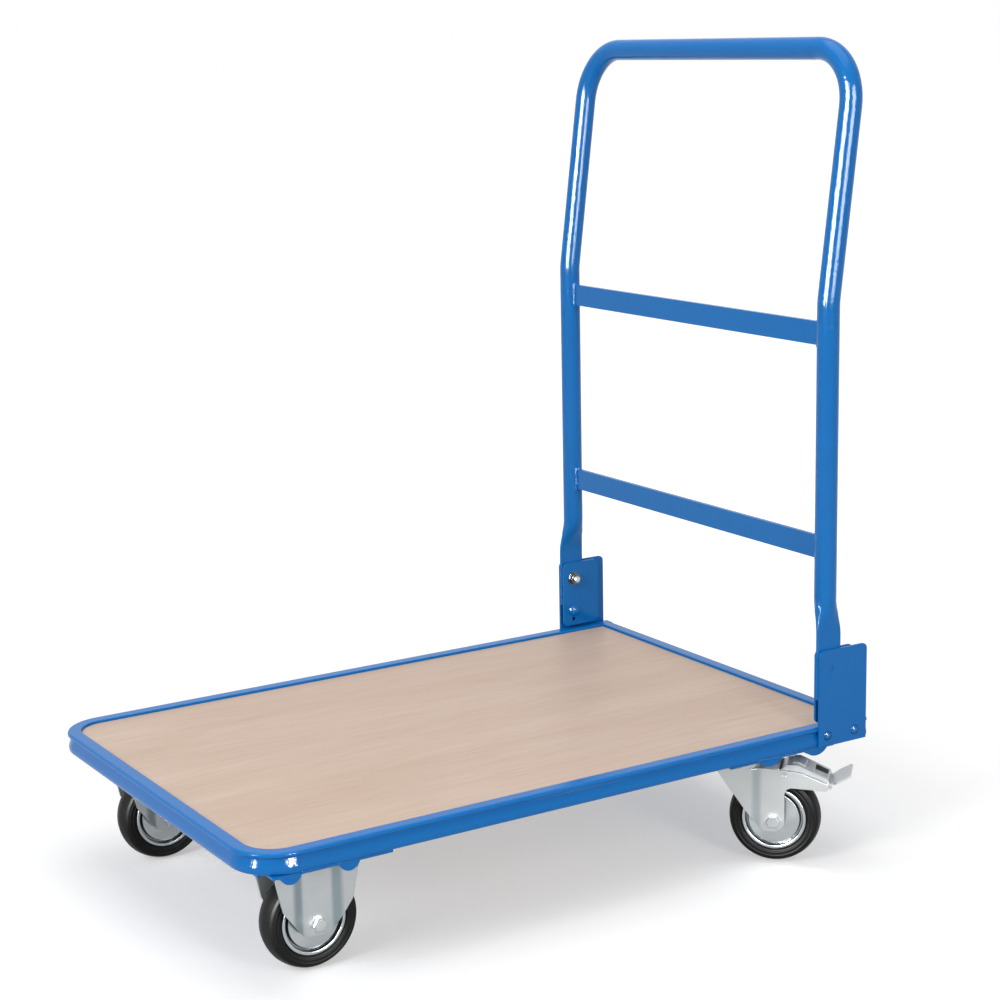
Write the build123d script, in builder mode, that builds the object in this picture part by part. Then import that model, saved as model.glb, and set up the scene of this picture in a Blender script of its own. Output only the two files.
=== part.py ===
from build123d import *

import os
from math import asin, atan2, cos, radians, sin, sqrt, tan

# Folding platform trolley, in millimetres. X runs from the front end to the rear, where the handle
# stands, Y across the platform and Z up from the floor. Every piece is drawn where it sits with the
# handle upright and lifted clear of its lock pins, and both rear wheels trailing outwards.

# Platform frame and board
deck_length = 745.0
deck_width = 500.0
rail_width = 15.0
rail_height = 22.0
rail_wall = 2.0
rail_corner_radius = 48.0
rail_top_round = 2.5
rail_bottom_round = 2.0
rail_foot_inset = 1.5
rail_belly_rise = 4.5
rail_belly_round = 9.0
rail_edge_round = 1.0
groove_depth = 3.6
groove_drop = 6.0
bead_height = 4.0
ledge_width = 12.0
ledge_sheet = 2.5
board_thickness = 12.0
board_recess = 3.0
board_gap = 0.4
end_cap_depth = 12.0

# Cross bearers under the frame
bearer_sheet = 2.5
bearer_side_gap = 2.0
bearer_flange = 8.0
bearer_flange_end = 32.0
front_bearer_inset = 22.0
front_bearer_length = 128.0
rear_bearer_inset = 45.0
rear_bearer_length = 140.0
front_dimple_chord = 22.0
front_dimple_depth = 8.0
rear_dimple_chord = 30.0
rear_dimple_depth = 7.0
dimple_width = 12.0
front_dimple_insets = (41.0, 103.0)
rear_dimple_insets = (69.5, 132.0)

# Wheels
wheel_diameter = 100.0
tyre_width = 30.0
tyre_shoulder = 2.5
tread_round = 3.5
bead_chamfer = 2.5
rim_radius = 35.0
rim_seat_gap = 0.1
rim_sheet = 1.8
rim_face = 12.4
rim_lip = 14.0
groove_inner = 27.6
groove_outer = 31.2
groove_floor = 7.6
hub_radius = 12.0
hub_half_length = 17.0

# Axles and running clearances
axle_radius = 4.0
sleeve_radius = 6.0
fixed_clearance = 0.05
running_clearance = 0.06
end_play = 0.1

# Caster forks
fork_sheet = 2.5
leg_gap = 19.0
front_leg_step = 3.5
rear_leg_step = 3.0
front_step_run = 10.0
rear_step_run = 9.0
leg_step_round = 14.0
fork_foot = 12.0
front_panel_half = 16.0
front_fork_half = 45.0
front_shoulder_drop = 20.0
front_waist_half = 38.0
front_waist_drop = 53.0
crown_front = -24.0
crown_rear = 42.0
rear_step_place = 13.5
plate_length = 100.0
plate_width = 84.0
plate_sheet = 3.0
plate_hole_x = 80.0
plate_hole_y = 66.0
plate_round = 8.0
front_wheel_inset = 91.0
front_wheel_side_inset = 72.0
rear_swivel_inset = 127.5
rear_swivel_side_inset = 57.0
swivel_trail = 36.0
swivel_rest_angle = -45.0
crown_gap = 6.0
crown_sheet = 3.0
race_stack = 14.0
race_radius = 24.0
race_height = 3.4
race_ball_radius = 2.7
race_ball_circle = 18.0
race_ball_count = 18
king_pin_radius = 6.0
king_nut_radius = 10.0
king_nut_height = 7.7
race_play = 1.1
cover_gap = 0.5
cover_sheet = 1.5
cage_half_width = 1.5
cage_half_height = 1.0

# Brake pedals
pedal_pin_radius = 2.5
pedal_pin_reach = 47.5
pedal_pin_drop = 2.5
pedal_width = 36.0
pedal_sheet = 2.0
pedal_tab_width = 44.0
pedal_tab_length = 25.5
pedal_tab_neck = 4.0
pedal_tab_flare = 5.0
pedal_tab_round = 4.0
pedal_tab_slope = 29.5
pedal_slot_inset = 9.0
pedal_slot_length = 15.0
pedal_slot_width = 26.0
pedal_pad_width = 22.0
pedal_pad_rise = 1.6
shoe_width = 18.0
shoe_front = 11.5
shoe_rear = 21.5
shoe_drop = 5.5

# Handle
tube_diameter = 24.0
tube_wall = 1.5
leg_inset = 8.5
pivot_inset = 54.0
pivot_rise = 64.5
kink_rise = 395.0
upper_length = 261.0
kink_radius = 90.0
top_corner_radius = 60.0
fold_clearance = 0.8
crossbar_height = 25.0
crossbar_thickness = 5.0
lower_crossbar_rise = 131.0
upper_crossbar_rise = 361.0
weld_gap = 0.02
drain_hole_radius = 2.5

# Flattened leg ends, hinge plates and lock
flat_width = 33.0
flat_thickness = 4.0
flat_reach = 36.0
flat_transition = 42.0
flare_steps = 4
hinge_sheet = 2.5
hinge_pocket = 5.0
outer_plate_ahead = 15.5
outer_plate_behind = 50.5
outer_plate_above = 21.0
inner_plate_ahead = 15.0
inner_plate_behind = 37.0
inner_plate_above = 20.5
inner_plate_floor = 3.5
plate_corner = 6.0
plate_foot_corner = 3.0
pivot_radius = 4.0
pivot_recess = 0.6
bush_radius = 6.0
slot_clearance = 0.1
handle_lift = 14.0
lock_pin_radius = 4.0
lock_pin_drop = 42.0
lock_head_radius = 7.5
lock_dome = 5.0
lock_clearance = 0.3
swing_clearance = 0.6
prong_round = 5.0
sight_hole_drop = 53.0
sight_hole_radius = 2.5

# Fasteners
bolt_radius = 4.0
bolt_hole_gap = 0.2
bolt_head_flats = 13.0
bolt_head_height = 5.3
caster_nut_height = 4.0
nut_height = 6.5
nut_flange_radius = 8.5
nut_flange_height = 1.5
thread_showing = 3.0
rivet_radius = 3.0
rivet_head_radius = 5.5
rivet_dome = 2.2
rivet_rise = 11.7
rivet_ahead = 3.5
rivet_behind = 34.5
screw_radius = 2.5
screw_head_radius = 5.0
screw_head_height = 3.0
screw_grip = 7.5
screw_spread = 140.0

# Levels and positions that follow from the sizes above
half_length = deck_length / 2
half_width = deck_width / 2
wheel_radius = wheel_diameter / 2
crown_bottom = wheel_diameter + crown_gap
crown_top = crown_bottom + crown_sheet
plate_bottom = crown_top + race_stack
plate_top = plate_bottom + plate_sheet
frame_bottom = plate_top + bearer_sheet
deck_top = frame_bottom + rail_height
board_top = deck_top - board_recess
board_bottom = board_top - board_thickness
rail_inside = half_width - rail_width
front_axle_x = -half_length + front_wheel_inset
front_axle_y = half_width - front_wheel_side_inset
swivel_x = half_length - rear_swivel_inset
swivel_y = half_width - rear_swivel_side_inset
front_bearer_x = -half_length + front_bearer_inset + front_bearer_length / 2
rear_bearer_x = half_length - rear_bearer_inset - rear_bearer_length / 2
tube_radius = tube_diameter / 2
leg_y = half_width - leg_inset
pivot_x = half_length - pivot_inset
pivot_z = deck_top + pivot_rise
pocket_y = half_width - hinge_pocket / 2
outer_face_y = half_width + hinge_sheet
inner_plate_y = half_width - hinge_pocket
inner_face_y = inner_plate_y - hinge_sheet
lock_pin_z = pivot_z - lock_pin_drop
lean = asin((pivot_rise - tube_radius - fold_clearance) / kink_rise)
head_flat = bolt_head_flats / 2
near_caster = Location((swivel_x, -swivel_y, 0), (0, 0, swivel_rest_angle))
rivet_z = frame_bottom + rivet_rise
rivet_places = ((pivot_x - rivet_ahead, rivet_z), (pivot_x + rivet_behind, rivet_z))
rivet_end_y = half_width - rail_wall - groove_depth - 1


def write(piece, name):
    piece.label = name
    export_step(piece, f"parts/{name}.step")


def write_pair(piece, name):
    write(piece, f"{name}_near")
    with BuildPart() as far_piece:
        mirror(piece, about=Plane.XZ)
    write(far_piece.part, f"{name}_far")


def dome_radius(base_radius, height):
    return (base_radius ** 2 + height ** 2) / (2 * height)


def across(x, y, z):
    """Plane facing +Y, with local x along X and local y downwards."""
    return Plane(origin=(x, y, z), x_dir=(1, 0, 0), z_dir=(0, 1, 0))


def side(y):
    """Plane facing -Y, with local coordinates equal to X and Z."""
    return Plane.XZ.offset(-y)


def turned(x, z, outline):
    """Solid of revolution about the line along Y through x, z; the outline is radius and Y pairs."""
    centre = (x, 0, z)
    with BuildPart() as piece:
        with BuildSketch(Plane(origin=centre)):
            with BuildLine():
                Polyline(*outline, close=True)
            make_face()
        revolve(axis=Axis(centre, (0, 1, 0)))
    return piece.part


def ring(x, z, inner, outer, y_low, y_high):
    return turned(x, z, ((inner, y_low), (outer, y_low), (outer, y_high), (inner, y_high)))


os.makedirs("parts", exist_ok=True)

# Rolled steel rail of the platform. Its outer face slopes out from a groove under the rounded bead to
# a belly near the foot, and a ledge inside carries the board.
hollow_width = rail_width - 2 * rail_wall - groove_depth
hollow_height = rail_height - 2 * rail_wall
hollow_centre = (-groove_depth / 2, frame_bottom + rail_height / 2)
rail_line = half_width - rail_width / 2


def rail_section(plane):
    out = rail_width / 2
    tip = -out - ledge_width
    low = board_bottom - ledge_sheet
    with BuildSketch(plane) as section:
        with BuildLine():
            FilletPolyline(
                (-out, frame_bottom),
                (out - rail_foot_inset, frame_bottom),
                (out, frame_bottom + rail_belly_rise),
                (out - groove_depth, deck_top - groove_drop),
                (out, deck_top - bead_height),
                (out, deck_top),
                (-out, deck_top),
                (-out, board_bottom),
                (tip, board_bottom),
                (tip, low),
                (-out, low),
                radius=(
                    rail_edge_round,
                    rail_bottom_round,
                    rail_belly_round,
                    rail_edge_round,
                    rail_edge_round,
                    rail_top_round,
                    rail_edge_round,
                    0,
                    0,
                    0,
                    0,
                ),
                close=True,
            )
        make_face()
        with Locations(hollow_centre):
            Rectangle(hollow_width, hollow_height, mode=Mode.SUBTRACT)
    return section.sketch


with BuildPart() as deck_frame:
    with BuildLine():
        FilletPolyline(
            (half_length, -rail_line),
            (-half_length + rail_width / 2, -rail_line),
            (-half_length + rail_width / 2, rail_line),
            (half_length, rail_line),
            radius=rail_corner_radius - rail_width / 2,
        )
    add(rail_section(Plane(origin=(half_length, -rail_line, 0), x_dir=(0, -1, 0), z_dir=(-1, 0, 0))))
    sweep()
    # The ledge stops at the rear rail.
    with BuildSketch(Plane.XY.offset(board_bottom - ledge_sheet)):
        with Locations((half_length, 0)):
            Rectangle(rail_width, 2 * rail_inside, align=(Align.MAX, Align.CENTER))
    extrude(amount=ledge_sheet, mode=Mode.SUBTRACT)
    # Rivet holes for the hinge plates, through the outer walls only.
    for end in (-1, 1):
        with BuildSketch(side(end * half_width)):
            with Locations(*rivet_places):
                Circle(rivet_radius + fixed_clearance)
        extrude(amount=end * (half_width - rivet_end_y), mode=Mode.SUBTRACT)
write(deck_frame.part, "deck_frame")

# Straight rail that closes the rear end, between the ends of the bent frame.
with BuildPart() as rear_rail:
    extrude(
        rail_section(
            Plane(origin=(half_length - rail_width / 2, rail_inside, 0), x_dir=(1, 0, 0), z_dir=(0, -1, 0))
        ),
        amount=2 * rail_inside,
        dir=(0, -1, 0),
    )
    # The ledge is cut back at both ends, where it meets the ledges of the side rails.
    for end in (-1, 1):
        with Locations((half_length - rail_width, end * rail_inside, board_bottom)):
            Box(
                ledge_width,
                2 * ledge_width,
                ledge_sheet,
                align=(Align.MAX, Align.CENTER, Align.MAX),
                mode=Mode.SUBTRACT,
            )
write(rear_rail.part, "rear_rail")

# Plugs that close the open rear ends of the side rails.
with BuildPart() as rail_end_caps:
    with BuildSketch(Plane(origin=(half_length, -rail_line, 0), x_dir=(0, -1, 0), z_dir=(-1, 0, 0))):
        with Locations(hollow_centre):
            Rectangle(hollow_width - 2 * fixed_clearance, hollow_height - 2 * fixed_clearance)
    extrude(amount=end_cap_depth)
    mirror(about=Plane.XZ)
write(rail_end_caps.part, "rail_end_caps")

# Wood-faced board that lies on the ledges, a little below the top of the rails.
board_front = -half_length + rail_width + board_gap
board_rear = half_length - rail_width - board_gap
board_half_width = rail_inside - board_gap
screw_ys = (-screw_spread / 2, screw_spread / 2)
screw_places = [(x, y) for x in (front_bearer_x, rear_bearer_x) for y in screw_ys]
with BuildPart() as deck_board:
    with BuildSketch(Plane.XY.offset(board_bottom)):
        with BuildLine():
            FilletPolyline(
                (board_rear, -board_half_width),
                (board_front, -board_half_width),
                (board_front, board_half_width),
                (board_rear, board_half_width),
                radius=rail_corner_radius - rail_width - board_gap,
            )
            Line((board_rear, board_half_width), (board_rear, -board_half_width))
        make_face()
    extrude(amount=board_thickness)
    with BuildSketch(Plane.XY.offset(board_bottom)):
        with Locations(*screw_places):
            Circle(screw_radius + fixed_clearance)
    extrude(amount=screw_grip + fixed_clearance, mode=Mode.SUBTRACT)
write(deck_board.part, "deck_board")


# Pressed cross bearer: a flat web under the frame, turned down along both edges, with two half-round
# dimples pressed at each end below the side rails.
def bearer(centre_x, length, dimple_xs, dimple_chord, dimple_depth, caster_x, caster_y, name):
    web_end = half_width - bearer_side_gap
    flange_x = (length - bearer_sheet) / 2
    dimple_radius = dome_radius(dimple_chord / 2, dimple_depth)
    with BuildPart() as piece:
        with BuildSketch(Plane.XY.offset(plate_top)):
            with Locations((centre_x, 0)):
                Rectangle(length, 2 * web_end)
        extrude(amount=bearer_sheet)
        with BuildSketch(Plane.XY.offset(plate_top)):
            with Locations((centre_x - flange_x, 0), (centre_x + flange_x, 0)):
                Rectangle(bearer_sheet, 2 * (web_end - bearer_flange_end))
        extrude(amount=-bearer_flange)
        for end in (-1, 1):
            with BuildSketch(side(end * web_end)):
                with Locations(*((x, plate_top - dimple_depth + dimple_radius) for x in dimple_xs)):
                    Circle(dimple_radius)
                with Locations((centre_x, plate_top + bearer_sheet)):
                    Rectangle(
                        2 * length, 3 * dimple_radius, align=(Align.CENTER, Align.MIN), mode=Mode.SUBTRACT
                    )
            extrude(amount=end * dimple_width)
        with BuildSketch(Plane.XY.offset(plate_top - 1)):
            for end in (-1, 1):
                with Locations((caster_x, end * caster_y)):
                    with GridLocations(plate_hole_x, plate_hole_y, 2, 2):
                        Circle(bolt_radius + bolt_hole_gap)
            with Locations(*((centre_x, y) for y in screw_ys)):
                Circle(screw_radius + fixed_clearance)
        extrude(amount=bearer_sheet + 2, mode=Mode.SUBTRACT)
    write(piece.part, name)


bearer(
    front_bearer_x,
    front_bearer_length,
    [-half_length + inset for inset in front_dimple_insets],
    front_dimple_chord,
    front_dimple_depth,
    front_axle_x,
    front_axle_y,
    "front_bearer",
)
bearer(
    rear_bearer_x,
    rear_bearer_length,
    [half_length - inset for inset in rear_dimple_insets],
    rear_dimple_chord,
    rear_dimple_depth,
    swivel_x,
    swivel_y,
    "rear_bearer",
)

# Pan-head screws from below, through each bearer into the board.
with BuildPart() as board_screws:
    with BuildSketch(Plane.XY.offset(plate_top)):
        with Locations(*screw_places):
            Circle(screw_head_radius)
    extrude(amount=-screw_head_height)
    fillet(board_screws.faces().sort_by(Axis.Z)[: len(screw_places)].edges(), 1.2)
    with BuildSketch(Plane.XY.offset(plate_top)):
        with Locations(*screw_places):
            Circle(screw_radius)
    extrude(amount=board_bottom - plate_top + screw_grip)
write(board_screws.part, "board_screws")

# Hinge plates: the outer one riveted to the side of the rail, the inner one carried on the pivot stud
# and the lock pin. The flattened leg end moves in the pocket between them.
with BuildPart() as outer_plate:
    with BuildSketch(side(-half_width)) as outer_outline:
        with Locations((pivot_x - outer_plate_ahead, frame_bottom)):
            Rectangle(
                outer_plate_ahead + outer_plate_behind,
                pivot_z + outer_plate_above - frame_bottom,
                align=(Align.MIN, Align.MIN),
            )
        corners = outer_outline.vertices().sort_by(Axis.Y)
        fillet(corners[2:], plate_corner)
        fillet(corners[:2].sort_by(Axis.X)[-1], plate_foot_corner)
        with Locations((pivot_x, pivot_z)):
            Circle(pivot_radius + fixed_clearance, mode=Mode.SUBTRACT)
        with Locations(*rivet_places):
            Circle(rivet_radius + fixed_clearance, mode=Mode.SUBTRACT)
    extrude(amount=hinge_sheet)
write_pair(outer_plate.part, "outer_plate")

with BuildPart() as inner_plate:
    with BuildSketch(side(-inner_face_y)) as inner_outline:
        with Locations((pivot_x - inner_plate_ahead, deck_top + inner_plate_floor)):
            Rectangle(
                inner_plate_ahead + inner_plate_behind,
                pivot_rise + inner_plate_above - inner_plate_floor,
                align=(Align.MIN, Align.MIN),
            )
        fillet(inner_outline.vertices(), plate_corner)
        with Locations((pivot_x, pivot_z), (pivot_x, lock_pin_z)):
            Circle(pivot_radius + fixed_clearance, mode=Mode.SUBTRACT)
        with Locations((pivot_x, pivot_z - sight_hole_drop)):
            Circle(sight_hole_radius, mode=Mode.SUBTRACT)
    extrude(amount=hinge_sheet)
write_pair(inner_plate.part, "inner_plate")

# Dome rivets that hold each outer plate to its rail.
with BuildPart() as plate_rivets:
    for x, z in rivet_places:
        with BuildSketch(Plane(origin=(x, 0, z))):
            with BuildLine():
                Polyline(
                    (rivet_head_radius, -outer_face_y),
                    (rivet_radius, -outer_face_y),
                    (rivet_radius, -rivet_end_y),
                    (0, -rivet_end_y),
                    (0, -outer_face_y - rivet_dome),
                )
                RadiusArc(
                    (0, -outer_face_y - rivet_dome),
                    (rivet_head_radius, -outer_face_y),
                    dome_radius(rivet_head_radius, rivet_dome),
                )
            make_face()
        revolve(axis=Axis((x, 0, z), (0, 1, 0)))
    mirror(about=Plane.XZ)
write(plate_rivets.part, "plate_rivets")

# Pivot studs, set a little into the outer plates, and their flanged nuts on the inner plates.
stud_end = inner_face_y - nut_height - thread_showing
with BuildPart() as pivot_studs:
    add(ring(pivot_x, pivot_z, 0, pivot_radius, pivot_recess - outer_face_y, -stud_end))
    chamfer(pivot_studs.edges().group_by(Axis.Y)[-1], 0.8)
    mirror(about=Plane.XZ)
write(pivot_studs.part, "pivot_studs")

with BuildPart() as pivot_nuts:
    with BuildSketch(across(pivot_x, -inner_face_y, pivot_z)):
        Circle(nut_flange_radius)
    extrude(amount=nut_flange_height)
    with BuildSketch(across(pivot_x, -inner_face_y, pivot_z)):
        RegularPolygon(head_flat, 6, major_radius=False)
    extrude(amount=nut_height)
    with BuildSketch(across(pivot_x, -inner_face_y, pivot_z)):
        Circle(pivot_radius + fixed_clearance)
    extrude(amount=nut_height, mode=Mode.SUBTRACT)
    mirror(about=Plane.XZ)
write(pivot_nuts.part, "pivot_nuts")

# Lock pins below the pivots, welded to the outer plates, with a dome head on the inner plate.
with BuildPart() as lock_pins:
    with BuildSketch(Plane(origin=(pivot_x, 0, lock_pin_z))):
        with BuildLine():
            Polyline(
                (0, -inner_face_y + lock_dome),
                (0, -half_width),
                (lock_pin_radius, -half_width),
                (lock_pin_radius, -inner_face_y),
                (lock_head_radius, -inner_face_y),
            )
            RadiusArc(
                (lock_head_radius, -inner_face_y),
                (0, -inner_face_y + lock_dome),
                -dome_radius(lock_head_radius, lock_dome),
            )
        make_face()
    revolve(axis=Axis((pivot_x, 0, lock_pin_z), (0, 1, 0)))
    mirror(about=Plane.XZ)
write(lock_pins.part, "lock_pins")

# Flattened end of a handle leg, drawn round the lifted pivot. The long hole lets the handle drop by
# the lift, and the notch between the two prongs then straddles the lock pin.
slot_radius = bush_radius + slot_clearance
end_radius = lock_pin_drop - lock_pin_radius - swing_clearance
notch_radius = lock_pin_radius + lock_clearance
notch_top = -lock_pin_drop + handle_lift + notch_radius
flat_half = flat_width / 2
prong_drop = sqrt(end_radius ** 2 - flat_half ** 2)
flat_top = pivot_z + flat_reach
tube_foot = flat_top + flat_transition
shoulder_angle = 35


def leg_section(share):
    """Outline of the leg where it has gone this share of the way from round tube to flat end."""
    half = tube_radius + (flat_half - tube_radius) * share
    rise = tube_radius + (flat_thickness / 2 - tube_radius) * share
    edge = tube_radius * sin(radians(shoulder_angle))
    edge += (flat_thickness / 2 - edge) * share
    cap = tube_radius * (1 - cos(radians(shoulder_angle)))
    cap += (flat_thickness / 2 - cap) * share
    corner = half - cap
    for sign in (1, -1):
        ThreePointArc((sign * corner, -sign * edge), (sign * half, 0), (sign * corner, sign * edge))
        if share < 1:
            ThreePointArc((sign * corner, sign * edge), (0, sign * rise), (-sign * corner, sign * edge))
        else:
            Line((sign * corner, sign * edge), (-sign * corner, sign * edge))


with BuildPart() as leg_end:
    for step in range(flare_steps + 1):
        run = step / flare_steps
        share = run ** 2 * (3 - 2 * run)
        middle = leg_y + (pocket_y - leg_y) * share
        with BuildSketch(Plane(origin=(pivot_x, -middle, tube_foot - flat_transition * run))):
            with BuildLine():
                leg_section(share)
            make_face()
    loft()
with BuildPart() as flat_end:
    with BuildSketch(Plane(origin=(pivot_x, -pocket_y, flat_top))):
        with BuildLine():
            leg_section(1)
        make_face()
    extrude(amount=-flat_reach - end_radius)
    with BuildSketch(
        Plane(origin=(pivot_x, -pocket_y, pivot_z), x_dir=(1, 0, 0), z_dir=(0, -1, 0))
    ) as flat_outline:
        with BuildLine():
            Polyline(
                (flat_half, -prong_drop),
                (flat_half, flat_reach),
                (-flat_half, flat_reach),
                (-flat_half, -prong_drop),
            )
            ThreePointArc((-flat_half, -prong_drop), (0, -end_radius), (flat_half, -prong_drop))
        make_face()
        fillet(flat_outline.vertices().sort_by(Axis.Y)[:2], prong_round)
        with Locations((0, handle_lift / 2)):
            SlotCenterToCenter(handle_lift, 2 * slot_radius, rotation=90, mode=Mode.SUBTRACT)
        with Locations((0, notch_top - notch_radius)):
            Circle(notch_radius, mode=Mode.SUBTRACT)
            Rectangle(2 * notch_radius, end_radius, align=(Align.CENTER, Align.MAX), mode=Mode.SUBTRACT)
    extrude(amount=flat_thickness, both=True, mode=Mode.INTERSECT)

# Handle bent from one length of tube. Its legs stand upright, lean back above the kink and join in
# the top bar. The lean is the one that lays the upper part flat over the rails when it is folded.
kink_z = pivot_z + kink_rise
top_x = pivot_x + upper_length * sin(lean)
top_z = kink_z + upper_length * cos(lean)
with BuildPart() as handle_tube:
    with BuildLine():
        FilletPolyline(
            (pivot_x, -leg_y, tube_foot),
            (pivot_x, -leg_y, kink_z),
            (top_x, -leg_y, top_z),
            (top_x, leg_y, top_z),
            (pivot_x, leg_y, kink_z),
            (pivot_x, leg_y, tube_foot),
            radius=(kink_radius, top_corner_radius, top_corner_radius, kink_radius),
        )
    with BuildSketch(Plane(origin=(pivot_x, -leg_y, tube_foot))):
        Circle(tube_radius)
        Circle(tube_radius - tube_wall, mode=Mode.SUBTRACT)
    sweep()
    for piece in (leg_end.part, flat_end.part):
        add(piece)
        mirror(piece, about=Plane.XZ)
    # Drain hole at the foot of each leg's bore, on the rear side.
    with BuildSketch(Plane(origin=(pivot_x, 0, tube_foot + 8), x_dir=(0, 1, 0), z_dir=(1, 0, 0))):
        with Locations((-leg_y, 0), (leg_y, 0)):
            Circle(drain_hole_radius)
    extrude(amount=tube_diameter, mode=Mode.SUBTRACT)
write(handle_tube.part, "handle_tube")


# Flat bars welded between the legs.
def crossbar(rise, name):
    with BuildPart() as piece:
        with Locations((pivot_x, 0, pivot_z + rise)):
            Box(crossbar_thickness, 2 * leg_y, crossbar_height)
        with Locations((pivot_x, -leg_y, pivot_z + rise), (pivot_x, leg_y, pivot_z + rise)):
            Cylinder(tube_radius + weld_gap, 2 * crossbar_height, mode=Mode.SUBTRACT)
    write(piece.part, name)


crossbar(lower_crossbar_rise, "lower_crossbar")
crossbar(upper_crossbar_rise, "upper_crossbar")

# Bushes that turn on the pivot studs and slide in the long holes of the legs.
bush_half = hinge_pocket / 2 - 2 * end_play
with BuildPart() as pivot_bushes:
    add(ring(
        pivot_x,
        pivot_z,
        pivot_radius + running_clearance,
        bush_radius,
        -pocket_y - bush_half,
        -pocket_y + bush_half,
    ))
    mirror(about=Plane.XZ)
write(pivot_bushes.part, "pivot_bushes")

# One wheel, drawn about the origin with its axle along Y: a rubber tyre on a rim pressed from two
# halves, which sit on a hub bush.
tyre_half = tyre_width / 2
tread_edge = wheel_radius - tyre_shoulder
with BuildPart() as tyre:
    with BuildSketch():
        with BuildLine():
            Polyline(
                (tread_edge, tyre_half - tread_round),
                (tread_edge - 3, tyre_half),
                (rim_radius + 2, tyre_half),
                (rim_radius, tyre_half - bead_chamfer),
                (rim_radius, bead_chamfer - tyre_half),
                (rim_radius + 2, -tyre_half),
                (tread_edge - 3, -tyre_half),
                (tread_edge, tread_round - tyre_half),
            )
            ThreePointArc(
                (tread_edge, tread_round - tyre_half),
                (wheel_radius, 0),
                (tread_edge, tyre_half - tread_round),
            )
        make_face()
    revolve(axis=Axis.Y)

band = rim_radius - rim_seat_gap
bore = hub_radius + fixed_clearance
with BuildPart() as rim:
    add(turned(0, 0, (
        (bore, -rim_face),
        (groove_inner, -rim_face),
        (groove_inner + 1.4, -groove_floor),
        (groove_outer - 0.6, -groove_floor),
        (groove_outer, -rim_lip),
        (band, -rim_lip),
        (band, 0),
        (band - rim_sheet, 0),
        (band - rim_sheet, rim_sheet - groove_floor),
        (groove_inner + 0.2, rim_sheet - groove_floor),
        (groove_inner - 1.2, rim_sheet - rim_face),
        (bore, rim_sheet - rim_face),
    )))
    lip_edges = rim.edges().filter_by(GeomType.CIRCLE).group_by(Axis.Y)[0]
    fillet(lip_edges, 1.2)
rim_halves = rim.part + mirror(rim.part, about=Plane.XZ)

hub = ring(0, 0, sleeve_radius + running_clearance, hub_radius, -hub_half_length, hub_half_length)

# Axle set, drawn like the wheel: bolt with its head on the outer side, nut, and the sleeve that the
# hub turns on.
leg_face = leg_gap + fork_sheet
bolt_end = leg_face + nut_height + thread_showing
with BuildPart() as axle_bolt:
    with BuildSketch(across(0, -leg_face, 0)):
        RegularPolygon(head_flat, 6, major_radius=False)
    extrude(amount=-bolt_head_height)
    chamfer(axle_bolt.faces().sort_by(Axis.Y)[0].edges(), 0.7)
    with BuildSketch(across(0, -leg_face, 0)):
        Circle(axle_radius)
    extrude(amount=leg_face + bolt_end)
    chamfer(axle_bolt.edges().group_by(Axis.Y)[-1], 0.8)

with BuildPart() as axle_nut:
    with BuildSketch(across(0, leg_face, 0)):
        RegularPolygon(head_flat, 6, major_radius=False)
        Circle(axle_radius + fixed_clearance, mode=Mode.SUBTRACT)
    extrude(amount=nut_height)
    chamfer(axle_nut.faces().sort_by(Axis.Y)[-1].outer_wire().edges(), 0.7)

sleeve_half = leg_gap - end_play
axle_sleeve = ring(0, 0, axle_radius + fixed_clearance, sleeve_radius, -sleeve_half, sleeve_half)

# Front rigid casters: wheel, axle set and a fork whose legs are pressed with a recessed middle panel.
front_wheel = Pos(front_axle_x, -front_axle_y, wheel_radius)
write_pair(front_wheel * tyre.part, "front_tyre")
write_pair(front_wheel * rim_halves, "front_rim")
write_pair(front_wheel * hub, "front_hub")


def both_sides(piece, name):
    with BuildPart() as pieces:
        add(piece)
        mirror(piece, about=Plane.XZ)
    write(pieces.part, name)


both_sides(front_wheel * axle_bolt.part, "front_axle_bolts")
both_sides(front_wheel * axle_nut.part, "front_axle_nuts")
both_sides(front_wheel * axle_sleeve, "front_axle_sleeves")


def top_plate_outline():
    RectangleRounded(plate_length, plate_width, plate_round)
    with GridLocations(plate_hole_x, plate_hole_y, 2, 2):
        Circle(bolt_radius + bolt_hole_gap, mode=Mode.SUBTRACT)


def bend_shift(step, run):
    """How far a bend in the fork's sheet moves along the leg between its outer and inner faces."""
    return fork_sheet * tan(atan2(step, run) / 2)


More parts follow.
